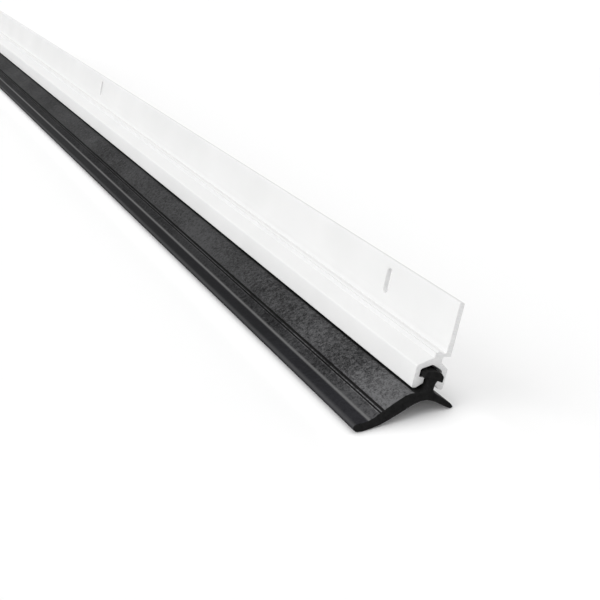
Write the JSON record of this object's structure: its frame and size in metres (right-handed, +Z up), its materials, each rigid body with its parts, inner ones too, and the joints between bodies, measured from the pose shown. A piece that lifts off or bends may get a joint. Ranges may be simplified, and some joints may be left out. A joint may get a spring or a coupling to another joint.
{
  "type": "door sweep",
  "caption": "Straight white extruded strip with a slotted upright screw flange and a T-channel, holding a black rubber seal with a long outer lip and a short inner lip.",
  "frame": {"origin": "on the flat back face of the screw flange, which lies against the door, halfway along the carrier and 8 mm below the line of the screw slots", "axes": "+X lengthwise along the strip, +Y out of the back face towards the door, +Z up the door, with the seal hanging down to -Z"},
  "size_m": [0.9169, 0.0339, 0.0442],
  "materials": {
    "white_powder_coat": "satin",
    "black_rubber": "matte"
  },
  "bodies": {
    "carrier": {"carrier_extrusion": "white_powder_coat"},
    "seal": {"seal_core": "black_rubber"},
    "long_lip": {"long_lip": "black_rubber"},
    "short_lip": {"short_lip": "black_rubber"}
  },
  "joints": [
    {"name": "seal_slide", "type": "slide", "parent": "carrier", "child": "seal", "axis": [-1, 0, 0], "range_m": [0, 0.9]},
    {"name": "long_lip_flex", "type": "hinge", "parent": "seal", "child": "long_lip", "pos_m": [0, -0.01336, -0.01722], "axis": [-1, 0, 0], "range_deg": [-20, 35], "stiffness_Nm_per_rad": 1.4},
    {"name": "short_lip_flex", "type": "hinge", "parent": "seal", "child": "short_lip", "pos_m": [0, -0.00095, -0.01655], "axis": [1, 0, 0], "range_deg": [-20, 20], "stiffness_Nm_per_rad": 0.7}
  ]
}
